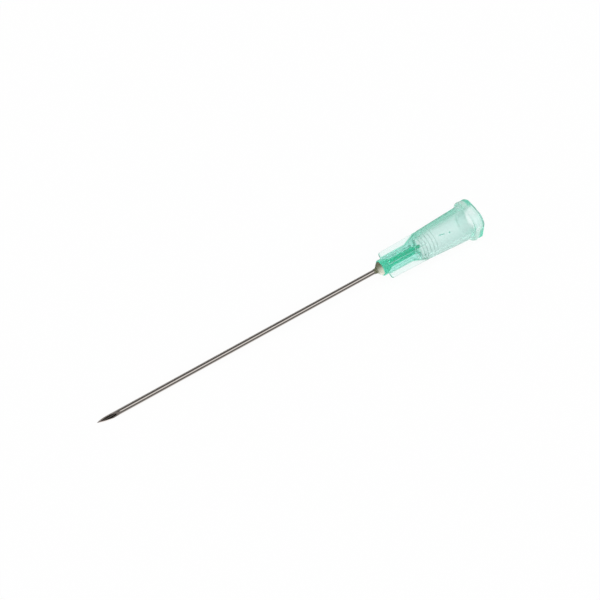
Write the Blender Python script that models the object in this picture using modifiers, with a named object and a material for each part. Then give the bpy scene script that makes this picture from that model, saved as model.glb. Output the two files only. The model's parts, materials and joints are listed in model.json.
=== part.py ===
"""A hypodermic needle: a ground steel tube, glued with a bead of epoxy into a moulded hub.

Every piece is modelled upright about its own +Z axis. Z = 0 is the open mouth of the hub and the
point of the needle is at the top. The parent empty then lays the whole needle down, so that it
rests on one flat of its flange and on the tube just behind the point.
"""

import math

import bmesh
import bpy
from mathutils import Matrix, Vector

MM = 0.001

# Steel tube, 21 gauge
TUBE_DIAMETER = 0.82 * MM
TUBE_BORE = 0.51 * MM
EXPOSED_LENGTH = 50.0 * MM  # from the front face of the hub to the point
TUBE_SHORT_OF_FLOOR = 0.1 * MM  # the tube ends this far before the floor of the socket

# The point: one long bevel, then two side grinds that meet at the tip
BEVEL_ANGLE = math.radians(12.2)
LANCET_ANGLE = math.radians(15.1)
LANCET_ROLL = math.radians(35)  # how far each side grind is turned round the tube
BEVEL_FACING = math.radians(40)  # the way the bevel looks, turned from the hub's own side flat

# Outside of the hub, from the front face back to the mouth
NECK_DIAMETER = 2.73 * MM
NECK_LENGTH = 5.4 * MM
NECK_EDGE_RADIUS = 0.1 * MM
SHOULDER_LENGTH = 2.85 * MM
SHOULDER_BLEND = 0.5 * MM
BARREL_FRONT_DIAMETER = 5.02 * MM
BARREL_LENGTH = 7.9 * MM
BARREL_REAR_DIAMETER = 5.88 * MM
FLANGE_DIAMETER = 6.85 * MM
FLANGE_THICKNESS = 0.75 * MM  # behind the lip
FLANGE_EDGE_RADIUS = 0.12 * MM
FLANGE_FLATS = 4
FLANGE_ACROSS_FLATS = 5.98 * MM
LIP_HEIGHT = 0.075 * MM  # how far the rounded lip in front of the flange stands out past it
LIP_WIDTH = 0.95 * MM
LIP_BLEND = 0.35 * MM
GATE_WIDTH = 1.3 * MM  # the scar where the plastic ran in, on a rounded corner of the flange
GATE_DEPTH = 0.14 * MM
GATE_FACING = math.radians(67)

# Four fins that run from the neck into the shoulder
FIN_COUNT = 4
FIN_THICKNESS = 0.5 * MM
FIN_SETBACK = 0.87 * MM
FIN_FRONT_REACH = 2.33 * MM  # from the axis
FIN_REAR_REACH = 2.46 * MM
FIN_CORNER_RADIUS = 0.45 * MM
FIN_ROOT_RADIUS = 0.16 * MM  # of the fillet between a fin and the neck
FIN_ROOT_BITE = 0.006 * MM  # how far the fillet dips under the neck's surface, so that they cross
FIN_FACING = math.radians(-26)  # of the first fin, turned from the side flat

# Inside of the hub
GLUE_WELL_DIAMETER = 2.36 * MM
GLUE_WELL_DEPTH = 1.75 * MM
TUBE_CLEARANCE = 0.02 * MM
SOCKET_MOUTH_DIAMETER = 4.3 * MM
SOCKET_TAPER = 0.06  # change of diameter for each unit of depth
SOCKET_DEPTH = 8.2 * MM
SOCKET_LEAD_IN = 0.12 * MM
RING_COUNT = 5
RING_PITCH = 0.58 * MM
RING_HEIGHT = 0.09 * MM
RING_RISE = 0.4  # share of the pitch over which a ring rises
RING_FALL = 0.25  # share of the pitch over which it falls away again
RING_TAPER = 0.06 * MM  # each ring is this much narrower across its radius than the last
FLOOR_DEPTH = 0.6 * MM  # of the cone from the innermost ring to the tube's hole

# Epoxy round the tube
GLUE_CLEARANCE = 0.01 * MM
GLUE_CONE_LENGTH = 1.3 * MM  # in front of the hub
GLUE_FOOT_LENGTH = 0.5 * MM  # of the thin foot that runs out along the tube
GLUE_FOOT_SWEEP = 0.45 * MM  # how far the hollow behind the foot reaches on each side of its bend
GLUE_WELL_FILL = 1.4 * MM

# How finely round things are divided
HUB_SIDES = 64
TUBE_SIDES = 32
ARC_POINTS = 5
OVERSHOOT = 0.5 * MM  # how far cutters reach past what they cut

TUBE_RADIUS = TUBE_DIAMETER / 2
NECK_RADIUS = NECK_DIAMETER / 2
FIN_ROOT = NECK_RADIUS / 2  # each fin starts this far from the axis, well inside the neck
LIP_DIAMETER = FLANGE_DIAMETER + 2 * LIP_HEIGHT
FLANGE_LENGTH = FLANGE_THICKNESS + LIP_WIDTH + LIP_BLEND
HUB_LENGTH = FLANGE_LENGTH + BARREL_LENGTH + SHOULDER_LENGTH + NECK_LENGTH
SHOULDER_TOP = HUB_LENGTH - NECK_LENGTH
BARREL_TOP = SHOULDER_TOP - SHOULDER_LENGTH
POINT_Z = HUB_LENGTH + EXPOSED_LENGTH
FLOOR_Z = SOCKET_DEPTH + RING_COUNT * RING_PITCH + FLOOR_DEPTH


def arc(centre_r, centre_z, radius, start, end, count=ARC_POINTS):
    """Points of a round stretch of a profile, as (r, z), from one angle in degrees to another."""
    angles = [math.radians(start + (end - start) * i / count) for i in range(count + 1)]
    return [(centre_r + radius * math.cos(a), centre_z + radius * math.sin(a)) for a in angles]


def blended(before, corner, after, length, count=ARC_POINTS):
    """The corner of a profile rounded off: a smooth bend that starts and ends this far from it."""
    before, corner, after = Vector(before), Vector(corner), Vector(after)
    start = corner + (before - corner).normalized() * length
    end = corner + (after - corner).normalized() * length
    bend = []
    for i in range(count + 1):
        t = i / count
        point = start * (1 - t) ** 2 + corner * 2 * t * (1 - t) + end * t**2
        bend.append((point.x, point.y))
    return bend


def plastic_or_metal(name, colour, roughness, metallic=0.0, transmission=0.0):
    material = bpy.data.materials.new(name)
    material.use_nodes = True
    shader = material.node_tree.nodes["Principled BSDF"]
    shader.inputs["Base Color"].default_value = (*colour, 1)
    shader.inputs["Roughness"].default_value = roughness
    shader.inputs["Metallic"].default_value = metallic
    shader.inputs["Transmission Weight"].default_value = transmission
    material.diffuse_color = (*colour, 1)
    material.roughness = roughness
    material.metallic = metallic
    return material


def add_object(name, mesh, collection, parent, material=None):
    obj = bpy.data.objects.new(name, mesh)
    collection.objects.link(obj)
    obj.parent = parent
    if material:
        mesh.materials.append(material)
    return obj


def as_helper(obj):
    obj.hide_render = True
    obj.display_type = "WIRE"
    return obj


def turned(name, profile, closed, sides, collection, parent, material=None):
    """A profile of (r, z) points, outer side first and downwards, turned about Z."""
    mesh = bpy.data.meshes.new(name)
    edges = [(i, i + 1) for i in range(len(profile) - 1)]
    if closed:
        edges.append((len(profile) - 1, 0))
    mesh.from_pydata([(r, 0, z) for r, z in profile], edges, [])
    obj = add_object(name, mesh, collection, parent, material)
    screw = obj.modifiers.new("turn", "SCREW")
    screw.axis = "Z"
    screw.steps = screw.render_steps = sides
    screw.use_smooth_shade = True
    screw.use_merge_vertices = True
    screw.merge_threshold = 0.001 * MM
    return obj


def plate(name, outline, thickness, collection, parent):
    """A flat outline of (x, y) points, as thick as asked, half of it on each side of its plane."""
    curve = bpy.data.curves.new(name, "CURVE")
    curve.dimensions = "2D"
    curve.fill_mode = "BOTH"
    curve.extrude = thickness / 2
    spline = curve.splines.new("POLY")
    spline.points.add(len(outline) - 1)
    for point, (x, y) in zip(spline.points, outline):
        point.co = (x, y, 0, 1)
    spline.use_cyclic_u = True
    drawn = bpy.data.objects.new(name, curve)
    collection.objects.link(drawn)
    drawn_mesh = bpy.data.meshes.new_from_object(
        drawn.evaluated_get(bpy.context.evaluated_depsgraph_get())
    )
    bpy.data.objects.remove(drawn)
    shape = bmesh.new()
    shape.from_mesh(drawn_mesh)
    bmesh.ops.remove_doubles(shape, verts=shape.verts, dist=0.001 * MM)
    bmesh.ops.recalc_face_normals(shape, faces=shape.faces)
    shape.to_mesh(drawn_mesh)
    shape.free()
    return add_object(name, drawn_mesh, collection, parent)


def block(name, size, collection, parent, place):
    """A box of this size along its own axes, put where the matrix says."""
    shape = bmesh.new()
    bmesh.ops.create_cube(shape, size=1)
    bmesh.ops.scale(shape, vec=size, verts=shape.verts)
    mesh = bpy.data.meshes.new(name)
    shape.to_mesh(mesh)
    shape.free()
    obj = add_object(name, mesh, collection, parent)
    obj.matrix_local = place
    return obj


def combine(obj, other, operation):
    modifier = obj.modifiers.new(other.name, "BOOLEAN")
    modifier.operation = operation
    modifier.object = other


def round_axis(angle):
    return Matrix.Rotation(angle, 4, "Z")


def ground_back(turn):
    """How far behind the point a side grind leaves the tube's wall, this far round from the tip."""
    rise = math.cos(LANCET_ROLL) - math.cos(turn + LANCET_ROLL)
    return TUBE_RADIUS * rise / math.tan(LANCET_ANGLE)


def socket_radius(depth):
    return (SOCKET_MOUTH_DIAMETER - SOCKET_TAPER * depth) / 2


def well_radius(depth):
    """Radius of the glue well, this far behind the front face."""
    hole = TUBE_RADIUS + TUBE_CLEARANCE
    return GLUE_WELL_DIAMETER / 2 + (hole - GLUE_WELL_DIAMETER / 2) * depth / GLUE_WELL_DEPTH


def hub_outline():
    front = HUB_LENGTH
    neck_end = (NECK_RADIUS, SHOULDER_TOP)
    barrel_start = (BARREL_FRONT_DIAMETER / 2, BARREL_TOP)
    barrel_end = (BARREL_REAR_DIAMETER / 2, FLANGE_LENGTH)
    lip_low = FLANGE_THICKNESS
    lip_top = FLANGE_THICKNESS + LIP_WIDTH
    lip_round = LIP_WIDTH / 2
    lip_centre = LIP_DIAMETER / 2 - lip_round
    rim = FLANGE_DIAMETER / 2
    edge = FLANGE_EDGE_RADIUS
    front_edge = arc(
        NECK_RADIUS - NECK_EDGE_RADIUS, front - NECK_EDGE_RADIUS, NECK_EDGE_RADIUS, 90, 0, 3
    )
    lip_foot = (BARREL_REAR_DIAMETER / 2, lip_top)
    lip_crown = (lip_centre, lip_top)
    meets_rim = -math.degrees(math.acos((rim - lip_centre) / lip_round))
    return [
        (0, front),
        *front_edge,
        *blended(front_edge[-1], neck_end, barrel_start, SHOULDER_BLEND / 2),
        *blended(neck_end, barrel_start, barrel_end, SHOULDER_BLEND),
        *blended(barrel_end, lip_foot, lip_crown, LIP_BLEND / 2, 3),
        *arc(lip_centre, (lip_low + lip_top) / 2, lip_round, 80, meets_rim, 8),
        *arc(rim - edge, edge, edge, 0, -90, 3),
        (0, 0),
    ]


def hub_inside():
    """Glue well, hole for the tube, conical floor, rings and tapered socket."""
    hole = TUBE_RADIUS + TUBE_CLEARANCE
    front = HUB_LENGTH
    profile = [
        (0, front + OVERSHOOT),
        (well_radius(0), front + OVERSHOOT),
        (well_radius(0), front),
        (hole, front - GLUE_WELL_DEPTH),
        (hole, FLOOR_Z),
    ]
    narrowest = socket_radius(SOCKET_DEPTH) - RING_COUNT * RING_TAPER
    for i in range(RING_COUNT):
        top = FLOOR_Z - FLOOR_DEPTH - i * RING_PITCH
        inner = narrowest + i * RING_TAPER
        profile.append((inner - RING_HEIGHT / 2, top))
        profile.append((inner + RING_HEIGHT / 2, top - RING_PITCH * RING_RISE))
        profile.append((inner + RING_HEIGHT / 2, top - RING_PITCH * (1 - RING_FALL)))
    lead = SOCKET_LEAD_IN
    profile += [
        (socket_radius(SOCKET_DEPTH), SOCKET_DEPTH),
        (socket_radius(2 * lead), 2 * lead),
        (socket_radius(0) + lead, 0),
        (socket_radius(0) + lead, -OVERSHOOT),
        (0, -OVERSHOOT),
    ]
    return profile


def fin_side():
    """One fin seen from its side, as (r, z): it runs out in the barrel, and its front corner is round."""
    front = HUB_LENGTH - FIN_SETBACK
    heel = BARREL_TOP - SHOULDER_BLEND
    corner = FIN_CORNER_RADIUS
    return [
        (FIN_ROOT, heel),
        (FIN_REAR_REACH, heel),
        *arc(FIN_FRONT_REACH - corner, front - corner, corner, 0, 90),
        (FIN_ROOT, front),
    ]


def fin_section():
    """One fin cut across, as (r, width): parallel sides with a fillet down to the neck on each."""
    half = FIN_THICKNESS / 2
    beside = half + FIN_ROOT_RADIUS
    reach = NECK_RADIUS + FIN_ROOT_RADIUS - FIN_ROOT_BITE
    centre = math.sqrt(reach**2 - beside**2)
    down_to_axis = 180 + math.degrees(math.atan2(beside, centre))
    upper = arc(centre, beside, FIN_ROOT_RADIUS, down_to_axis, 270)
    upper.append((FIN_REAR_REACH + OVERSHOOT, half))
    upper.insert(0, (FIN_ROOT, upper[0][1]))
    return upper + [(r, -width) for r, width in reversed(upper)]


def make_fin(name, helpers, hub):
    """The fin's section run along the hub, kept where it lies inside the fin's side view."""
    length = HUB_LENGTH + 2 * OVERSHOOT
    fin = plate(name, fin_section(), length, helpers, hub)
    fin.data.transform(Matrix.Translation((0, 0, length / 2 - OVERSHOOT)))
    side = plate(f"{name}_side", fin_side(), 2 * NECK_DIAMETER, helpers, fin)
    side.data.transform(Matrix.Rotation(math.radians(90), 4, "X"))
    combine(fin, as_helper(side), "INTERSECT")
    return as_helper(fin)


def make_hub(collection, helpers, parent, material):
    hub = turned("hub", hub_outline(), False, HUB_SIDES, collection, parent, material)
    for i in range(FIN_COUNT):
        fin = make_fin(f"fin_{i + 1}", helpers, hub)
        fin.matrix_local = round_axis(FIN_FACING + i * 2 * math.pi / FIN_COUNT)
        combine(hub, fin, "UNION")
    inside = as_helper(
        turned("socket_and_bore", hub_inside(), False, HUB_SIDES, helpers, hub)
    )
    combine(hub, inside, "DIFFERENCE")
    flat = FLANGE_ACROSS_FLATS / 2
    flat_height = FLANGE_LENGTH - LIP_BLEND / 2
    flat_width = 2 * math.sqrt(max((LIP_DIAMETER / 2) ** 2 - flat**2, 0)) + 2 * OVERSHOOT
    for i in range(FLANGE_FLATS):
        place = Matrix.Translation(
            (flat + LIP_DIAMETER / 2, 0, (flat_height - OVERSHOOT) / 2)
        )
        cutter = block(
            f"flange_flat_{i + 1}",
            (LIP_DIAMETER, flat_width, flat_height + OVERSHOOT),
            helpers,
            hub,
            round_axis(i * 2 * math.pi / FLANGE_FLATS) @ place,
        )
        combine(hub, as_helper(cutter), "DIFFERENCE")
    gate_lean = math.atan2(GATE_DEPTH, FLANGE_THICKNESS + LIP_WIDTH / 2)
    past_flat = abs(math.remainder(GATE_FACING, 2 * math.pi / FLANGE_FLATS))
    rim = min(FLANGE_DIAMETER / 2, flat / math.cos(past_flat))
    gate = (
        round_axis(GATE_FACING)
        @ Matrix.Translation((rim - GATE_DEPTH, 0, 0))
        @ Matrix.Rotation(gate_lean, 4, "Y")
        @ Matrix.Translation((GATE_WIDTH / 2, 0, 0))
    )
    cutter = block(
        "gate_scar", (GATE_WIDTH, GATE_WIDTH, 2 * FLANGE_LENGTH), helpers, hub, gate
    )
    combine(hub, as_helper(cutter), "DIFFERENCE")
    return hub


def grind(name, angle, turn, helpers, tube):
    """A block whose face is one ground plane: it meets the point and rises away from it."""
    outwards = Vector((math.cos(turn), math.sin(turn), 0))
    up = Vector((0, 0, 1))
    normal = outwards * math.cos(angle) + up * math.sin(angle)
    back = outwards * math.sin(angle) - up * math.cos(angle)
    across = back.cross(normal)
    length = 2 * TUBE_DIAMETER / math.sin(angle)
    depth = 2 * TUBE_DIAMETER
    centre = Vector((-TUBE_RADIUS, 0, POINT_Z)) + normal * depth / 2 + back * length / 4
    place = Matrix((across, back, normal)).transposed().to_4x4()
    place.translation = centre
    cutter = block(name, (3 * TUBE_DIAMETER, length, depth), helpers, tube, place)
    combine(tube, as_helper(cutter), "DIFFERENCE")


def make_tube(collection, helpers, parent, material):
    rear = FLOOR_Z + TUBE_SHORT_OF_FLOOR
    wall = [
        (TUBE_RADIUS, POINT_Z),
        (TUBE_RADIUS, rear),
        (TUBE_BORE / 2, rear),
        (TUBE_BORE / 2, POINT_Z),
    ]
    tube = turned("cannula", wall, True, TUBE_SIDES, collection, parent, material)
    tube.matrix_local = round_axis(BEVEL_FACING)
    grind("bevel", BEVEL_ANGLE, 0, helpers, tube)
    grind("side_grind_left", LANCET_ANGLE, LANCET_ROLL, helpers, tube)
    grind("side_grind_right", LANCET_ANGLE, -LANCET_ROLL, helpers, tube)
    return tube


def make_glue(collection, parent, material):
    """A cone of epoxy that fills the well and runs out to nothing along the tube."""
    front = HUB_LENGTH
    inner = TUBE_RADIUS + GLUE_CLEARANCE
    tip = (inner + GLUE_CLEARANCE, front + GLUE_CONE_LENGTH)
    bend = (inner + 2 * GLUE_CLEARANCE, front + GLUE_CONE_LENGTH - GLUE_FOOT_LENGTH)
    shoulder = (well_radius(0) - GLUE_CLEARANCE, front + GLUE_CLEARANCE)
    bottom = GLUE_WELL_FILL
    profile = [
        tip,
        *blended(tip, bend, shoulder, GLUE_FOOT_SWEEP),
        shoulder,
        (well_radius(0) - 2 * GLUE_CLEARANCE, front - GLUE_CLEARANCE),
        (well_radius(bottom) - 2 * GLUE_CLEARANCE, front - bottom),
        (inner, front - bottom),
        (inner, front + GLUE_CONE_LENGTH),
    ]
    return turned("adhesive", profile, True, HUB_SIDES, collection, parent, material)


def lying_pose():
    """Where the needle comes to rest: on the front of a flange flat, and on the tube by the point."""
    flat = FLANGE_ACROSS_FLATS / 2
    flat_front = FLANGE_THICKNESS + LIP_WIDTH
    below_tip = math.radians(90) - BEVEL_FACING
    tube_rests = POINT_Z - ground_back(below_tip)
    tilt = math.atan2(flat - TUBE_RADIUS, tube_rests - flat_front)
    middle = (POINT_Z * math.cos(tilt) - flat * math.sin(tilt)) / 2
    height = flat * math.cos(tilt) + flat_front * math.sin(tilt)
    return (
        Matrix.Translation((middle, 0, height))
        @ Matrix.Rotation(-math.radians(90) - tilt, 4, "Y")
        @ Matrix.Rotation(-math.radians(90), 4, "Z")
    )


def clear_scene():
    for obj in list(bpy.data.objects):
        bpy.data.objects.remove(obj)


def main():
    clear_scene()
    needle = bpy.data.collections.new("hypodermic_needle")
    helpers = bpy.data.collections.new("cutters")
    for collection in (needle, helpers):
        bpy.context.scene.collection.children.link(collection)
    pose = bpy.data.objects.new("lying_pose", None)
    needle.objects.link(pose)
    pose.matrix_world = lying_pose()

    green = plastic_or_metal("tinted_polypropylene", (0.36, 0.78, 0.64), 0.3, transmission=0.8)
    steel = plastic_or_metal("drawn_steel", (0.55, 0.53, 0.51), 0.25, metallic=1.0)
    epoxy = plastic_or_metal("cream_epoxy", (0.76, 0.70, 0.52), 0.35)
    make_hub(needle, helpers, pose, green)
    make_tube(needle, helpers, pose, steel)
    make_glue(needle, pose, epoxy)
    bpy.context.view_layer.update()


main()
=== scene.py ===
"""The dressed hypodermic needle: a fine moulded hub, a ground steel tube and a bead of epoxy.

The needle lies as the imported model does. Sizes are in millimetres, in the needle's own frame:
the origin is the middle of the hub's open mouth, +Z runs along the needle to its point, and +Y is up.
Angles round the needle are in degrees from +X towards +Y.
"""

import json
import math

import bpy
import numpy as np
from mathutils import Matrix, Vector


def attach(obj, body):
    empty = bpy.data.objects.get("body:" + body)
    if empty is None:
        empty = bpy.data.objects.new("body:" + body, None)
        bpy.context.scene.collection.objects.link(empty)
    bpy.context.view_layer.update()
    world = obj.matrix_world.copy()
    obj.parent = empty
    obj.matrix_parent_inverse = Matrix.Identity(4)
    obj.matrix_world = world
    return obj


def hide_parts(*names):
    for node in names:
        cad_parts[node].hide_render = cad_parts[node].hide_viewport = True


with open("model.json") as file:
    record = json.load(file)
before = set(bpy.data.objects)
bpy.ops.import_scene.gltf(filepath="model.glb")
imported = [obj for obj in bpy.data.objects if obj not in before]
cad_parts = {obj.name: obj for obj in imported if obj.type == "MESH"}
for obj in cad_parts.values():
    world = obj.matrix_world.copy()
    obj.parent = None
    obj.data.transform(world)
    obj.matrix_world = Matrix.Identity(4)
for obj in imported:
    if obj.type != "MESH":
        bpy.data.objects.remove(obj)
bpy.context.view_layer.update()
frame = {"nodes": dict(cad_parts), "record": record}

MM = 0.001

# Hub, outside
HUB_LENGTH = 18.2
NECK_RADIUS = 1.365
NECK_LENGTH = 5.4
NECK_EDGE = 0.1
SHOULDER_LENGTH = 2.85
SHOULDER_BLEND = 0.5
BARREL_FRONT_RADIUS = 2.51
BARREL_REAR_RADIUS = 2.94
LIP_RADIUS = 3.5
LIP_WIDTH = 0.95
LIP_BLEND = 0.35
FLANGE_RADIUS = 3.425
FLANGE_THICKNESS = 0.75
FLANGE_EDGE = 0.12
FLANGE_FLAT = 2.99
FLAT_EDGE = 0.05
GATE_FACING = 67
GATE_HALF_WIDTH = 0.65
GATE_DEPTH = 0.14
GATE_EDGE = 0.12

# Hub, fins
FIN_FACING = -26
FIN_HALF = 0.25
FIN_EDGE = 0.07
FIN_ROOT = 0.16
FIN_SETBACK = 0.87
FIN_FRONT_REACH = 2.33
FIN_REAR_REACH = 2.46
FIN_CORNER = 0.45

# Hub, inside
WELL_RADIUS = 1.18
WELL_DEPTH = 1.75
WELL_RIM = 0.04
BORE_RADIUS = 0.43
SOCKET_RADIUS = 2.15
SOCKET_TAPER = 0.03  # of the radius, for each unit of depth
SOCKET_DEPTH = 8.2
SOCKET_LEAD_IN = 0.12
RING_COUNT = 5
RING_PITCH = 0.58
RING_GROOVE = 0.018
RING_WIDTH = 0.16
RING_STEP = 0.06
FLOOR_DEPTH = 0.6

# How far apart the moulding's rings of points are, along its outline
OUTSIDE_STEP = 0.17
FRONT_STEP = 0.25
INSIDE_STEP = 0.8

# Mould mark on the barrel: a plain raised bar and a dot
MARK_HEIGHT = 0.06
MARK_HALF_WIDTH = 0.075
MARK_ZONE = (5.6, 8.1)
MARK_ROWS = 40
BAR_START = (7.8, 62.3)  # distance from the mouth, angle
BAR_END = (6.9, 58.0)
DOT_AT = (6.0, 53.9)
DOT_SIZE = 2  # of the bar's width

# Steel tube
TUBE_RADIUS = 0.41
TUBE_BORE = 0.255
EXPOSED_LENGTH = 50.0
TUBE_SHORT_OF_FLOOR = 0.1
TUBE_EDGE = 0.02
ROUND_SIDES = 96
BEVEL_ANGLE = 12.2
LANCET_ANGLE = 15.1
LANCET_ROLL = 35
BEVEL_FACING = 40

# Epoxy: its outline in front of the hub, as distance from the hub's face and radius
GLUE_OUTLINE = (
    (1.3, 0.425), (1.0, 0.445), (0.82, 0.5), (0.66, 0.62), (0.45, 0.86), (0.2, 1.08), (0.0, 1.175),
)
GLUE_WELL_FILL = 1.4
GLUE_GAP = 0.01
GLUE_UNEVEN = 0.018

# The photograph's view
FOCAL_PIXELS = 950
FRAME_PIXELS = 600
POINT_PIXEL = (97.0, 422.92)
POINT_DISTANCE = 139.75  # from the camera, along its line of sight
NEEDLE_ROLL = 28.603  # how steeply the needle climbs across the picture
NEEDLE_AWAY = 14.2  # how far its hub end leans away from the picture's plane
CAMERA_FACING = 59  # which side of the needle looks at the camera

BARREL_TOP = HUB_LENGTH - NECK_LENGTH - SHOULDER_LENGTH
SHOULDER_TOP = HUB_LENGTH - NECK_LENGTH
FLANGE_LENGTH = FLANGE_THICKNESS + LIP_WIDTH + LIP_BLEND
FLOOR_Z = SOCKET_DEPTH + RING_COUNT * RING_PITCH + FLOOR_DEPTH
RINGS_TOP = FLOOR_Z - FLOOR_DEPTH
POINT_Z = HUB_LENGTH + EXPOSED_LENGTH
WELL_SLOPE = (BORE_RADIUS - WELL_RADIUS) / WELL_DEPTH


def needle_frame():
    """The needle's own frame in the model, from the mouth's face and the hub as packed."""
    outwards = Vector(frame["record"]["mounts"][0]["axis"]).normalized()
    z = -outwards
    y = (Vector((0, 0, 1)) - z * z.z).normalized()
    turn = Matrix((y.cross(z), y, z)).transposed()
    points = np.array([turn.transposed() @ v.co for v in frame["nodes"]["hub"].data.vertices])
    low, high = points.min(0), points.max(0)
    middle = Vector(((low[0] + high[0]) / 2, (low[1] + high[1]) / 2, low[2]))
    return Matrix.Translation(turn @ middle) @ turn.to_4x4()


NEEDLE = needle_frame()


def towards(angle):
    """The way that this angle round the needle faces, in the model."""
    turn = math.radians(angle)
    return NEEDLE.col[0].xyz * math.cos(turn) + NEEDLE.col[1].xyz * math.sin(turn)


# Outlines

def arc(centre_r, centre_z, radius, start, end, count):
    angles = np.radians(np.linspace(start, end, count + 1))
    return [(centre_r + radius * math.cos(a), centre_z + radius * math.sin(a)) for a in angles]


def blended(before, corner, after, length, count):
    """The corner of an outline as a smooth bend that starts and ends this far from it."""
    before, corner, after = Vector(before), Vector(corner), Vector(after)
    start = corner + (before - corner).normalized() * length
    end = corner + (after - corner).normalized() * length
    bend = []
    for t in np.linspace(0, 1, count + 1):
        point = start * (1 - t) ** 2 + corner * 2 * t * (1 - t) + end * t**2
        bend.append((point.x, point.y))
    return bend


def with_steps(outline, longest):
    """The outline with points added so that no stretch of it is longer than this."""
    result = [outline[0]]
    for start, end in zip(outline, outline[1:]):
        count = max(1, math.ceil(math.dist(start, end) / longest))
        for i in range(1, count + 1):
            result.append(tuple(a + (b - a) * i / count for a, b in zip(start, end)))
    return result


def barrel_radius(z):
    """The barrel's outside, which widens evenly from the shoulder to the flange."""
    slope = (BARREL_FRONT_RADIUS - BARREL_REAR_RADIUS) / (BARREL_TOP - FLANGE_LENGTH)
    return BARREL_REAR_RADIUS + slope * (z - FLANGE_LENGTH)


def hub_outside():
    """The turned outside of the hub, from the edge of its mouth to its front face."""
    edge, lip_round = FLANGE_EDGE, LIP_WIDTH / 2
    lip_centre = LIP_RADIUS - lip_round
    lip_top = FLANGE_THICKNESS + LIP_WIDTH
    barrel_end = (BARREL_REAR_RADIUS, FLANGE_LENGTH)
    barrel_start = (BARREL_FRONT_RADIUS, BARREL_TOP)
    neck_end = (NECK_RADIUS, SHOULDER_TOP)
    front_edge = arc(NECK_RADIUS - NECK_EDGE, HUB_LENGTH - NECK_EDGE, NECK_EDGE, 0, 90, 5)
    meets_rim = -math.degrees(math.acos((FLANGE_RADIUS - lip_centre) / lip_round))
    outline = [
        *arc(FLANGE_RADIUS - edge, edge, edge, -90, 0, 4),
        *arc(lip_centre, FLANGE_THICKNESS + lip_round, lip_round, meets_rim, 80, 16),
        *blended((lip_centre, lip_top), (BARREL_REAR_RADIUS, lip_top), barrel_end, LIP_BLEND / 2, 6),
        *((barrel_radius(z), z) for z in np.linspace(*MARK_ZONE, MARK_ROWS)),
        *blended(barrel_end, barrel_start, neck_end, SHOULDER_BLEND, 10),
        *blended(barrel_start, neck_end, front_edge[0], SHOULDER_BLEND / 2, 7),
    ]
    # The rings lie close together where the fins' front corners round off, with one just past them.
    fin_front = HUB_LENGTH - FIN_SETBACK
    for angle in np.linspace(0, 90, 15):
        outline.append((NECK_RADIUS, fin_front - FIN_CORNER * (1 - math.sin(math.radians(angle)))))
    outline.append((NECK_RADIUS, fin_front + 0.001))
    bare_neck = [(NECK_RADIUS, fin_front + 0.05), *front_edge]
    return with_steps(outline, OUTSIDE_STEP) + with_steps(bare_neck, FRONT_STEP)


def hub_inside():
    """The turned inside of the hub, from the glue well's rim to the lead-in of the socket."""
    below_rim = 0.15
    outline = [
        *arc(WELL_RADIUS + WELL_RIM, HUB_LENGTH - WELL_RIM, WELL_RIM, 90, 180, 4),
        (WELL_RADIUS + WELL_SLOPE * below_rim, HUB_LENGTH - below_rim),
        (BORE_RADIUS, HUB_LENGTH - WELL_DEPTH),
        (BORE_RADIUS, FLOOR_Z),
    ]
    narrowest = SOCKET_RADIUS - SOCKET_TAPER * SOCKET_DEPTH - RING_COUNT * RING_STEP
    ledge, soft = 0.08, 0.04
    outline += [(narrowest - ledge, RINGS_TOP + soft), (narrowest, RINGS_TOP - soft)]
    for i in range(RING_COUNT):
        middle = RINGS_TOP - (i + 0.5) * RING_PITCH
        inner = narrowest + (i + 0.5) * RING_STEP
        for off in np.linspace(-1, 1, 9):
            groove = RING_GROOVE * (1 + math.cos(math.pi * off)) / 2
            fall = RING_STEP / RING_PITCH * off * RING_WIDTH
            outline.append((inner + groove + fall, middle - off * RING_WIDTH))
    lead = SOCKET_LEAD_IN
    outline += [
        (SOCKET_RADIUS - SOCKET_TAPER * SOCKET_DEPTH, SOCKET_DEPTH),
        (SOCKET_RADIUS - SOCKET_TAPER * 2 * lead, 2 * lead),
        (SOCKET_RADIUS + lead, 0),
    ]
    return with_steps(outline, INSIDE_STEP)


# The moulding's surface round the needle's axis

def steps_round():
    """Angles round the hub, close together at the fins and further apart between them."""
    top = np.linspace(0, 4, 4, endpoint=False)
    corner = np.linspace(4, 7, 9, endpoint=False)
    side = np.linspace(7, 10, 8, endpoint=False)
    root = np.linspace(10, 17, 10, endpoint=False)
    between = np.linspace(17, 45, 13)
    half = np.concatenate([top, corner, side, root, between])
    turn = np.concatenate([half, 90 - half[-2:0:-1]])
    return np.concatenate([FIN_FACING + 90 * i + turn for i in range(4)])


def slab_reach(off, reach, half, edge):
    """How far out a fin of this half width goes, this angle off its middle, with its edges rounded."""
    edge = min(edge, half * 0.9)
    sine, cosine = np.sin(off), np.cos(off)
    far = np.minimum(reach / cosine, half / np.maximum(sine, 1e-6))
    along = (reach - edge) * cosine + (half - edge) * sine
    beside = (reach - edge) * sine - (half - edge) * cosine
    on_edge = along + np.sqrt(np.maximum(edge**2 - beside**2, 0))
    rounded = (off > math.atan2(half - edge, reach)) & (off < math.atan2(half, reach - edge))
    return np.where(rounded, on_edge, far)


def root_reach(off, body, reach, half):
    """Radius of the fillet between a fin and the body, or 0 where there is none."""
    room = ((reach - FIN_EDGE) ** 2 - body**2 + half**2) / (2 * (body - half))
    root = min(FIN_ROOT, room)
    if root < 0.01:
        return np.zeros_like(off)
    centre = math.sqrt((body + root) ** 2 - (half + root) ** 2)
    along = centre * np.cos(off) + (half + root) * np.sin(off)
    beside = centre * np.sin(off) - (half + root) * np.cos(off)
    hollow = along - np.sqrt(np.maximum(root**2 - beside**2, 0))
    inside = (off > math.atan2(half, centre)) & (off < math.atan2(half + root, centre))
    return np.where(inside, hollow, 0)


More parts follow.
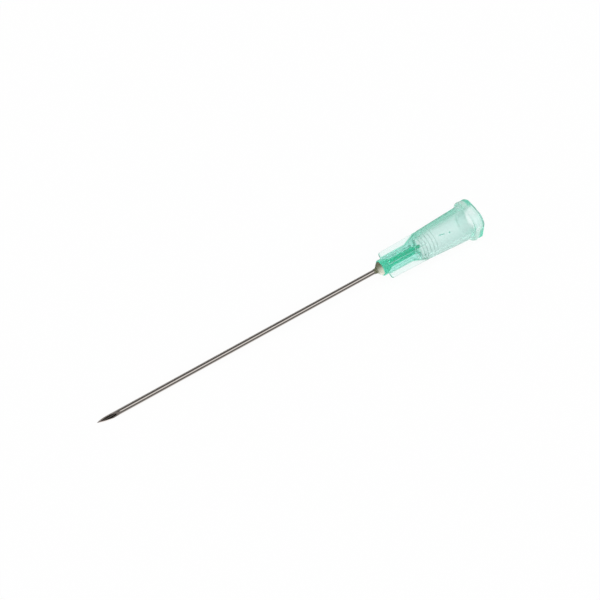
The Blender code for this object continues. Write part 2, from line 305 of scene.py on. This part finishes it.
def fin_at(z):
    """(reach, half width) of a fin at this height, or None where there is no fin."""
    front = HUB_LENGTH - FIN_SETBACK
    if z > front or z < BARREL_TOP - SHOULDER_BLEND:
        return None
    into = front - z
    length = front - BARREL_TOP
    reach = FIN_FRONT_REACH + (FIN_REAR_REACH - FIN_FRONT_REACH) * into / length
    if into < FIN_CORNER:
        reach -= FIN_CORNER - math.sqrt(FIN_CORNER**2 - (FIN_CORNER - into) ** 2)
    half = FIN_HALF
    if into < FIN_EDGE:
        half -= FIN_EDGE - math.sqrt(FIN_EDGE**2 - (FIN_EDGE - into) ** 2)
    return reach, half


def softer_least(a, b, blend):
    """The lesser of two radii, with a smooth change from one to the other."""
    share = np.clip(0.5 + (b - a) / (2 * blend), 0, 1)
    return b + (a - b) * share - blend * share * (1 - share)


def eased(value):
    value = np.clip(value, 0, 1)
    return value * value * (3 - 2 * value)


def mark_height(angles, z, radius):
    """How far the mould mark stands out of the barrel here."""
    (z1, a1), (z2, a2) = BAR_START, BAR_END
    turned = np.radians(1) * radius
    place = np.stack([np.full_like(angles, z), angles * turned], -1)
    start, end = np.array([z1, a1 * turned]), np.array([z2, a2 * turned])
    share = np.clip((place - start) @ (end - start) / np.sum((end - start) ** 2), 0, 1)
    to_bar = np.linalg.norm(place - start - share[:, None] * (end - start), axis=1)
    to_dot = np.linalg.norm(place - np.array([DOT_AT[0], DOT_AT[1] * turned]), axis=1) / DOT_SIZE
    return MARK_HEIGHT * eased(1.5 - np.minimum(to_bar, to_dot) / MARK_HALF_WIDTH)


def outer_radius(angles, body, z):
    """The hub's outside at one height: the turned body with its fins, flats, gate scar and mark."""
    radius = np.full_like(angles, body)
    if fin := fin_at(z):
        off = np.radians(np.abs((angles - FIN_FACING + 45) % 90 - 45))
        radius = np.maximum(radius, slab_reach(off, *fin, FIN_EDGE))
        radius = np.maximum(radius, root_reach(off, body, *fin))
    if z < FLANGE_LENGTH:
        off = np.radians((angles + 45) % 90 - 45)
        radius = softer_least(radius, FLANGE_FLAT / np.cos(off), FLAT_EDGE)
        off = np.radians((angles - GATE_FACING + 180) % 360 - 180)
        across = np.abs(radius * np.sin(off))
        height = FLANGE_THICKNESS + LIP_WIDTH / 2
        cut = GATE_DEPTH * eased((GATE_HALF_WIDTH - across) / GATE_EDGE) * max(0, 1 - z / height)
        radius = radius - np.where(np.cos(off) > 0, cut, 0)
    if MARK_ZONE[0] < z < MARK_ZONE[1]:
        radius = radius + mark_height(angles, z, body)
    return radius


def ring_of_points(radius, turn, z):
    """Points at these angles and this height. The radius is one number, or one for each angle."""
    return np.stack([radius * np.cos(turn), radius * np.sin(turn), np.full_like(turn, z)], -1)


def add_piece(name, vertices, faces, sharp_above):
    """A mesh from vertices in the needle's frame, in millimetres."""
    mesh = bpy.data.meshes.new(name)
    mesh.from_pydata([tuple(v) for v in vertices], [], faces)
    mesh.transform(NEEDLE @ Matrix.Scale(MM, 4))
    mesh.shade_smooth()
    mesh.set_sharp_from_angle(angle=math.radians(sharp_above))
    piece = bpy.data.objects.new(name, mesh)
    bpy.context.scene.collection.objects.link(piece)
    return piece


def stands_for(piece, node):
    """Nothing on the needle moves, so every piece rides on the root body."""
    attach(piece, "root")
    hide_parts(node)
    return piece


def ring_faces(rows, columns):
    """Quads between rings of points, in a loop that goes down the inside and back to the first ring."""
    faces = []
    for j in range(rows):
        k = (j + 1) % rows
        for i in range(columns):
            n = (i + 1) % columns
            faces.append((j * columns + i, j * columns + n, k * columns + n, k * columns + i))
    return faces


def make_hub():
    angles = steps_round()
    turn = np.radians(angles)
    rows = []
    for body, z in hub_outside():
        rows.append(ring_of_points(outer_radius(angles, body, z), turn, z))
    for radius, z in hub_inside():
        rows.append(ring_of_points(radius, turn, z))
    faces = ring_faces(len(rows), len(angles))
    hub = add_piece("moulded_hub", np.concatenate(rows), faces, 38)
    return stands_for(hub, "hub")


# The steel tube

def tube_blank():
    """The tube before it is ground, with a square front end and a softened rear edge."""
    turn = np.radians(np.arange(ROUND_SIDES) * 360 / ROUND_SIDES)
    rear = FLOOR_Z + TUBE_SHORT_OF_FLOOR
    soft = TUBE_EDGE
    plain_ends, rings_between = 6, 24
    between = np.linspace(POINT_Z - plain_ends, rear + plain_ends, rings_between)
    outline = [
        (TUBE_RADIUS, POINT_Z),
        *((TUBE_RADIUS, z) for z in between),
        (TUBE_RADIUS, rear + soft),
        (TUBE_RADIUS - soft, rear),
        (TUBE_BORE + soft, rear),
        (TUBE_BORE, rear + soft),
        (TUBE_BORE, POINT_Z),
    ]
    rows = [ring_of_points(r, turn, z) for r, z in outline]
    faces = [tuple(reversed(f)) for f in ring_faces(len(rows), len(turn))]
    return add_piece("ground_cannula", np.concatenate(rows), faces, 30)


def grind(tube, name, angle, turn):
    """Takes off what stands in front of one ground plane through the point."""
    turn = math.radians(turn)
    angle = math.radians(angle)
    facing = math.radians(BEVEL_FACING)
    outwards = Vector((math.cos(turn), math.sin(turn), 0))
    up = Vector((0, 0, 1))
    normal = outwards * math.cos(angle) + up * math.sin(angle)
    back = outwards * math.sin(angle) - up * math.cos(angle)
    across = back.cross(normal)
    point = Vector((-TUBE_RADIUS, 0, POINT_Z))
    half, ahead, behind, thick = 2, 3, 9, 3
    corners = []
    for height in (0, thick):
        for x, y in ((-half, -ahead), (half, -ahead), (half, behind), (-half, behind)):
            corners.append(point + across * x + back * y + normal * height)
    faces = [(3, 2, 1, 0), (4, 5, 6, 7), (0, 1, 5, 4), (1, 2, 6, 5), (2, 3, 7, 6), (3, 0, 4, 7)]
    spin = Matrix.Rotation(facing, 3, "Z")
    wheel = add_piece(name, [spin @ corner for corner in corners], faces, 30)
    cut = tube.modifiers.new(name, "BOOLEAN")
    cut.operation = "DIFFERENCE"
    cut.object = wheel
    return wheel


def settle(piece, *helpers):
    """Works the piece's modifiers into its mesh, and removes the helpers."""
    graph = bpy.context.evaluated_depsgraph_get()
    mesh = bpy.data.meshes.new_from_object(piece.evaluated_get(graph))
    piece.modifiers.clear()
    piece.data = mesh
    for helper in helpers:
        bpy.data.objects.remove(helper)


def make_tube():
    tube = tube_blank()
    wheels = [
        grind(tube, "bevel_wheel", BEVEL_ANGLE, 0),
        grind(tube, "left_wheel", LANCET_ANGLE, LANCET_ROLL),
        grind(tube, "right_wheel", LANCET_ANGLE, -LANCET_ROLL),
    ]
    settle(tube, *wheels)
    tube.data.set_sharp_from_angle(angle=math.radians(14))
    return stands_for(tube, "cannula")


# The bead of epoxy

def through_points(a, b, c, d, t):
    """A smooth curve's value this share of the way from b to c, with a before and d after them."""
    return 0.5 * (2 * b + (c - a) * t + (2 * a - 5 * b + 4 * c - d) * t**2 + (3 * b - a - 3 * c + d) * t**3)


def make_glue():
    """The bead fills the well, and its front sags a little unevenly along the tube."""
    turn = np.radians(np.arange(ROUND_SIDES) * 360 / ROUND_SIDES)
    inner = TUBE_RADIUS + GLUE_GAP
    outline = [(HUB_LENGTH + z, r) for z, r in GLUE_OUTLINE]
    smooth = []
    for i in range(len(outline) - 1):
        p = [outline[max(i - 1, 0)], outline[i], outline[i + 1], outline[min(i + 2, len(outline) - 1)]]
        for t in np.linspace(0, 1, 6, endpoint=False):
            smooth.append(tuple(through_points(*values, t) for values in zip(*p)))
    smooth.append(outline[-1])
    rows = []
    for z, r in smooth:
        share = eased((z - HUB_LENGTH) / 0.5) * eased((r - inner) / 0.1)
        waves = np.sin(turn + 0.6) + 0.6 * np.sin(3 * turn + 2) + 0.4 * np.sin(5 * turn)
        rows.append(ring_of_points(r * (1 + GLUE_UNEVEN * share * waves), turn, z))
    foot = HUB_LENGTH - GLUE_WELL_FILL
    outer = WELL_RADIUS - GLUE_GAP
    well = [(outer + WELL_SLOPE * d, HUB_LENGTH - d) for d in np.linspace(0.03, GLUE_WELL_FILL, 8)]
    for r, z in [*well, (inner, foot), (inner, HUB_LENGTH + GLUE_OUTLINE[0][0])]:
        rows.append(ring_of_points(r, turn, z))
    faces = [tuple(reversed(f)) for f in ring_faces(len(rows), len(turn))]
    bead = add_piece("epoxy_bead", np.concatenate(rows), faces, 40)
    return stands_for(bead, "adhesive")


# Finishes

PALE_MIST = (0.82, 0.98, 0.93, 1)
# The green mist is the thick rim's own colour, and also painted shade along the hub's upper side.
THICK_AND_SHADED_MIST = (0.22, 0.76, 0.56, 1)
NECK_MIST = (0.36, 0.87, 0.72, 1)
# Painted shade at the socket's rings, and the mould mark's colour.
RING_SHADE_AND_MARK_MIST = (0.12, 0.52, 0.40, 1)
WELL_GREEN = (0.02, 0.90, 0.58, 1)
PLASTIC_TINT = (0.2, 0.88, 0.76, 1)
DRAWN_STEEL = (0.62, 0.57, 0.53, 1)
GROUND_STEEL = (0.72, 0.63, 0.58, 1)
# Painted shade inside the tube's bore.
BORE_SHADE = (0.10, 0.09, 0.08, 1)
CLEAR_RESIN = (0.96, 0.92, 0.80, 1)
# Painted shade and painted light on the epoxy: olive on its upper side, cream on its lower side.
SHADED_RESIN = (0.16, 0.17, 0.10, 1)
LIT_RESIN = (0.88, 0.88, 0.74, 1)


class Socket:
    """One output of a shader node. Sums on it add Math nodes."""

    def __init__(self, finish, output):
        self.finish = finish
        self.output = output

    def math(self, operation, *values):
        return self.finish.add("ShaderNodeMath", {"operation": operation}, dict(enumerate(values)))

    def __add__(self, other):
        return self.math("ADD", self, other)

    def __radd__(self, other):
        return self.math("ADD", other, self)

    def __sub__(self, other):
        return self.math("SUBTRACT", self, other)

    def __rsub__(self, other):
        return self.math("SUBTRACT", other, self)

    def __mul__(self, other):
        return self.math("MULTIPLY", self, other)

    def __rmul__(self, other):
        return self.math("MULTIPLY", other, self)

    def __truediv__(self, other):
        return self.math("DIVIDE", self, other)

    def power(self, exponent):
        return self.math("POWER", self, exponent)

    def most(self, other):
        return self.math("MAXIMUM", self, other)

    def least(self, other):
        return self.math("MINIMUM", self, other)

    def within(self, low, high):
        """0 at low and below, 1 at high and above, and smooth between."""
        settings = {"interpolation_type": "SMOOTHSTEP"}
        limits = {"Value": self, "From Min": low, "From Max": high}
        return self.finish.add("ShaderNodeMapRange", settings, limits)

    def size(self):
        """The value without its sign."""
        return self.math("ABSOLUTE", self)


class Finish:
    """The node tree of one material or of the world, while it is being drawn up."""

    def __init__(self, owner):
        owner.use_nodes = True
        self.owner = owner
        self.tree = owner.node_tree
        self.tree.nodes.clear()

    def add(self, kind, settings=None, inputs=None, output=0):
        node = self.tree.nodes.new(kind)
        for name, value in (settings or {}).items():
            setattr(node, name, value)
        for name, value in (inputs or {}).items():
            if isinstance(value, Socket):
                self.tree.links.new(value.output, node.inputs[name])
            else:
                node.inputs[name].default_value = value
        return Socket(self, node.outputs[output]) if node.outputs else None

    def dot(self, way, direction):
        return self.add("ShaderNodeVectorMath", {"operation": "DOT_PRODUCT"}, {0: way, 1: direction}, 1)

    def blend(self, share, first, second):
        """One colour turning into another."""
        return self.add("ShaderNodeMix", {"data_type": "RGBA"}, {"Factor": share, 6: first, 7: second}, 2)

    def mixed(self, share, first, second):
        """One shader turning into another."""
        return self.add("ShaderNodeMixShader", None, {0: share, 1: first, 2: second})

    def noise(self, place, scale, detail, roughness):
        return self.add("ShaderNodeTexNoise", None, {
            "Vector": place, "Scale": scale, "Detail": detail, "Roughness": roughness,
        })

    def bump(self, height, strength, distance):
        return self.add("ShaderNodeBump", None, {
            "Height": height, "Strength": strength, "Distance": distance,
        })


def material(name, piece):
    made = bpy.data.materials.new(name)
    piece.data.materials.clear()
    piece.data.materials.append(made)
    return Finish(made)


def place_on_needle(finish):
    """(place in millimetres in the needle's frame, its z, its distance from the needle's axis)."""
    to_needle = (NEEDLE @ Matrix.Scale(MM, 4)).inverted()
    where = finish.add("ShaderNodeTexCoord", None, None, 3)
    turn = to_needle.to_euler()
    place = finish.add("ShaderNodeMapping", None, {
        "Vector": where,
        "Location": to_needle.translation,
        "Rotation": turn,
        "Scale": (1 / MM,) * 3,
    })
    x, y, z = (finish.add("ShaderNodeSeparateXYZ", None, {0: place}, i) for i in range(3))
    return place, z, (x * x + y * y).power(0.5)


def milky(finish, tone):
    """Mist in the skin of the plastic: it takes its light from outside, from whichever side it is seen."""
    seen_from_within = finish.add("ShaderNodeNewGeometry", None, None, "Backfacing")
    lit_in_front = finish.add("ShaderNodeBsdfDiffuse", None, {"Color": tone})
    lit_behind = finish.add("ShaderNodeBsdfTranslucent", None, {"Color": tone})
    return finish.mixed(seen_from_within, lit_in_front, lit_behind)


def tinted_plastic(piece):
    """Natural polypropylene: clear, with a milky mist that is greener where the plastic is thick. The mist
    also carries painted shade: a darker green band along the hub's upper side from the flange forward, and
    darker lines at the socket's rings.
    """
    finish = material("mint_polypropylene", piece)
    place, z, r = place_on_needle(finish)
    flow = finish.noise(place, 1.3, 3, 0.6)
    wall_middle = (2.6 - 0.04 * z).least(2.2 - 0.42 * (z - BARREL_TOP)).most(1.27)
    inside = (wall_middle - r).within(0, 0.02)
    well = inside * z.within(FLOOR_Z - 0.1, FLOOR_Z + 0.3)
    body = (1.5 + 0.4 * (SHOULDER_TOP - z)).most(1.5)
    fin = (r - body).within(0, 0.15) * z.within(BARREL_TOP, BARREL_TOP + 0.5)
    neckward = z.within(BARREL_TOP - 0.6, SHOULDER_TOP)
    flange = 1 - z.within(FLANGE_LENGTH - 0.8, FLANGE_LENGTH - 0.1)
    rim = 1 - z.within(0.55, 0.9)
    fin_front = fin * z.within(HUB_LENGTH - FIN_SETBACK - 0.3, HUB_LENGTH - FIN_SETBACK - 0.05)
    # Painted shade: a darker green band in the mist along the hub's upper side, from the flange forward.
    shaded_side = math.radians(CAMERA_FACING + 90)
    lean = finish.dot(place, (math.cos(shaded_side), math.sin(shaded_side), 0)) / r
    sides = lean.size().within(0.5, 0.95)
    painted_shade_band = lean.within(0.45, 0.9) * (1 - fin) * z.within(1.7, 2.7)
    mark_from, mark_to = MARK_ZONE
    mark = (r - barrel_radius(z)).within(0.25 * MARK_HEIGHT, 0.75 * MARK_HEIGHT)
    mark = mark * z.within(mark_from - 0.2, mark_from) * (1 - z.within(mark_to, mark_to + 0.2))
    # Painted shade: darker green lines in the mist where the socket's rings are.
    rings_up = (RINGS_TOP - z) / RING_PITCH
    off_ring = rings_up.math("FRACT", rings_up) - 0.5
    ring_shade = (1 - off_ring.size().within(0.06, 0.2)) * rings_up.within(0.1, 0.3)
    ring_shade = ring_shade * (1 - rings_up.within(RING_COUNT - 0.2, RING_COUNT)) * inside * (1 - 0.7 * sides)
    clear = finish.add("ShaderNodeBsdfPrincipled", None, {
        "Base Color": (1, 1, 1, 1),
        "Roughness": 0.1 + 0.12 * inside + 0.15 * flange + 0.04 * flow,
        "IOR": 1.49,
        "Transmission Weight": 1.0,
        "Normal": finish.bump(flow, 0.1, 0.02 * MM),
    })
    thick_rim_and_shade = rim.most(0.9 * painted_shade_band)
    mist = finish.mixed(thick_rim_and_shade, milky(finish, PALE_MIST), milky(finish, THICK_AND_SHADED_MIST))
    mist = finish.mixed(neckward, mist, milky(finish, NECK_MIST))
    mist = finish.mixed(mark.most(ring_shade), mist, milky(finish, RING_SHADE_AND_MARK_MIST))
    share = 0.06 + 0.08 * neckward + 0.1 * flange + 0.04 * flow
    share = share + (0.15 + 0.25 * flange) * sides + 0.2 * painted_shade_band + 0.6 * mark
    share = share * (1 - 0.9 * inside) * (1 - 0.9 * fin) + 0.4 * ring_shade + 0.3 * fin_front
    misty = finish.mixed(share, clear, mist)
    tinted = finish.add("ShaderNodeBsdfDiffuse", None, {"Color": WELL_GREEN})
    surface = finish.mixed(0.85 * well, misty, tinted)
    tint = finish.add("ShaderNodeVolumeAbsorption", None, {
        "Color": PLASTIC_TINT, "Density": 0.27 / MM,
    })
    finish.add("ShaderNodeOutputMaterial", None, {"Surface": surface, "Volume": tint})


def drawn_steel(piece):
    finish = material("drawn_steel", piece)
    place, _, r = place_on_needle(finish)
    long_lines = finish.add("ShaderNodeMapping", None, {"Vector": place, "Scale": (60, 60, 0.6)})
    lines = finish.noise(long_lines, 1, 3, 0.6)
    # Painted shade: the inside of the bore is nearly black.
    bore_shade = (TUBE_BORE + 0.006 - r).within(0, 0.006)
    ground = (TUBE_RADIUS - 0.004 - r).within(0, 0.012)
    colour = finish.blend(ground, DRAWN_STEEL, GROUND_STEEL)
    shader = finish.add("ShaderNodeBsdfPrincipled", None, {
        "Base Color": finish.blend(bore_shade, colour, BORE_SHADE),
        "Metallic": 1.0,
        "Roughness": 0.08 + 0.1 * lines + 0.15 * ground,
        "Normal": finish.bump(lines, 0.1, 0.01 * MM),
    })
    finish.add("ShaderNodeOutputMaterial", None, {"Surface": shader})


def cured_epoxy(piece):
    """Amber resin: clear and thin at the toe, with an opaque share in painted shade and painted light:
    olive on the upper side, shading to cream on the lower side.
    """
    finish = material("amber_epoxy", piece)
    place, z, _ = place_on_needle(finish)
    cloud = finish.noise(place, 1.6, 3, 0.55)
    # Painted shade and painted light: the bead's opaque share is olive on the upper side and cream on the
    # lower side.
    side = math.radians(CAMERA_FACING - 90)
    lit_side = finish.dot(place, (math.cos(side), math.sin(side), 0))
    toe = z.within(HUB_LENGTH + 0.5, HUB_LENGTH + 0.95)
    painted_light_share = (lit_side + 0.3 * cloud).within(-0.5, 1.1) * (1 - toe)
    clear = finish.add("ShaderNodeBsdfPrincipled", None, {
        "Base Color": CLEAR_RESIN,
        "Roughness": 0.12 + 0.1 * cloud,
        "IOR": 1.5,
        "Transmission Weight": 1.0,
        "Normal": finish.bump(cloud, 0.2, 0.03 * MM),
    })
    tone = finish.blend(painted_light_share, SHADED_RESIN, LIT_RESIN)
    body = finish.add("ShaderNodeBsdfPrincipled", None, {
        "Base Color": tone,
        "Roughness": 0.25 + 0.1 * cloud,
        "Normal": finish.bump(cloud, 0.2, 0.03 * MM),
    })
    surface = finish.mixed(0.8 - 0.2 * toe, clear, body)
    finish.add("ShaderNodeOutputMaterial", None, {"Surface": surface})


# Studio

TABLE_HALF = 3.0  # in metres, as is the gap
TABLE_GAP = 0.00001
PANEL_WAY = Vector((-0.278, -0.499, 0.821)).normalized()
PANEL_EDGE = math.radians(70)
PANEL_HEART = math.radians(20)


def ray_kinds(finish):
    """(straight to the camera, mirrored, through the plastic) as 0 or 1 for the ray being drawn."""
    names = ("Is Camera Ray", "Is Glossy Ray", "Is Transmission Ray")
    return [finish.add("ShaderNodeLightPath", None, None, name) for name in names]


def by_ray(finish, plain, straight, mirrored, through):
    """One number out of four, by the kind of ray."""
    is_camera, is_glossy, is_transmission = ray_kinds(finish)
    level = plain + (mirrored - plain) * is_glossy
    level = level + (through - level) * is_transmission
    return level + (straight - level) * is_camera


def make_table():
    mesh = bpy.data.meshes.new("table")
    half = TABLE_HALF
    corners = [(-half, -half, 0), (half, -half, 0), (half, half, 0), (-half, half, 0)]
    mesh.from_pydata(corners, [], [(0, 1, 2, 3)])
    table = bpy.data.objects.new("table", mesh)
    table.location.z = -TABLE_GAP
    bpy.context.scene.collection.objects.link(table)
    finish = material("white_table", table)
    lit = finish.add("ShaderNodeBsdfDiffuse", None, {"Color": (0.92, 0.92, 0.92, 1)})
    where = finish.add("ShaderNodeTexCoord", None, None, "Object")
    along, across = (finish.add("ShaderNodeSeparateXYZ", None, {0: where}, i) for i in (0, 1))
    # To mirrored rays the table just beneath the needle is white, and the rest of it dim.
    beneath = 1 - (across.size() / (2 * MM + 0.04 * along)).within(0.8, 1.6)
    # To rays through the plastic, the table behind the needle is a little darker.
    far = 1 - 0.3 * across.within(6 * MM, 20 * MM)
    glow = finish.add("ShaderNodeEmission", None, {
        "Color": by_ray(finish, 1.0, 1.0, 0.2 + 0.8 * beneath, far), "Strength": 1.0,
    })
    surface = finish.mixed(by_ray(finish, 0.0, 0.94, 0.9, 0.97), lit, glow)
    finish.add("ShaderNodeOutputMaterial", None, {"Surface": surface})


def light_studio():
    """A dim room with a soft panel by the camera and a white sweep behind the table."""
    world = bpy.data.worlds.new("studio")
    bpy.context.scene.world = world
    finish = Finish(world)
    way = finish.add("ShaderNodeTexCoord", None, None, "Generated")
    away, up = (finish.add("ShaderNodeSeparateXYZ", None, {0: way}, i) for i in (1, 2))
    ahead = towards(CAMERA_FACING)
    panel = finish.dot(way, PANEL_WAY).within(math.cos(PANEL_EDGE), math.cos(PANEL_HEART))
    beside = finish.dot(way, ahead.cross(NEEDLE.col[2].xyz))
    strip = (1 - beside.size().within(0.2, 0.5)) * finish.dot(way, ahead).within(0, 0.3)
    sweep = (0.36 - up).within(0, 0.15) * away.within(0.1, 0.4)
    plain = 0.4 + 1.25 * panel + 0.4 * sweep
    mirrored = 0.13 + 0.95 * strip + 0.85 * sweep
    through = 0.97 - 0.3 * away.within(0, 0.5) * (1 - up.within(0.2, 0.6))
    level = by_ray(finish, plain, 1.0, mirrored, through)
    light = finish.add("ShaderNodeBackground", None, {"Color": level, "Strength": 1.0})
    finish.add("ShaderNodeOutputWorld", None, {"Surface": light})


def set_camera():
    """The photograph's view, from where the point lands in it and how the needle lies across it."""
    towards_point = NEEDLE.col[2].xyz
    away = math.radians(NEEDLE_AWAY)
    back = towards(CAMERA_FACING) * math.cos(away) + towards_point * math.sin(away)
    along = (back * math.sin(away) - towards_point) / math.cos(away)
    across = along.cross(back)
    roll = math.radians(NEEDLE_ROLL)
    right = along * math.cos(roll) + across * math.sin(roll)
    down = across * math.cos(roll) - along * math.sin(roll)
    point = NEEDLE.translation + (towards_point * POINT_Z - towards(BEVEL_FACING) * TUBE_RADIUS) * MM
    half = FRAME_PIXELS / 2
    sideways, downward = ((pixel - half) / FOCAL_PIXELS for pixel in POINT_PIXEL)
    place = point + POINT_DISTANCE * MM * (back - right * sideways - down * downward)
    lens = bpy.data.cameras.new("view")
    lens.sensor_width = 36
    lens.lens = lens.sensor_width * FOCAL_PIXELS / FRAME_PIXELS
    lens.clip_start = 1 * MM
    camera = bpy.data.objects.new("view", lens)
    turn = Matrix((right, -down, back)).transposed()
    camera.matrix_world = Matrix.Translation(place) @ turn.to_4x4()
    bpy.context.scene.collection.objects.link(camera)
    bpy.context.scene.camera = camera


def main():
    tinted_plastic(make_hub())
    drawn_steel(make_tube())
    cured_epoxy(make_glue())
    make_table()
    light_studio()
    set_camera()
    bpy.context.scene.view_settings.view_transform = "Standard"


main()
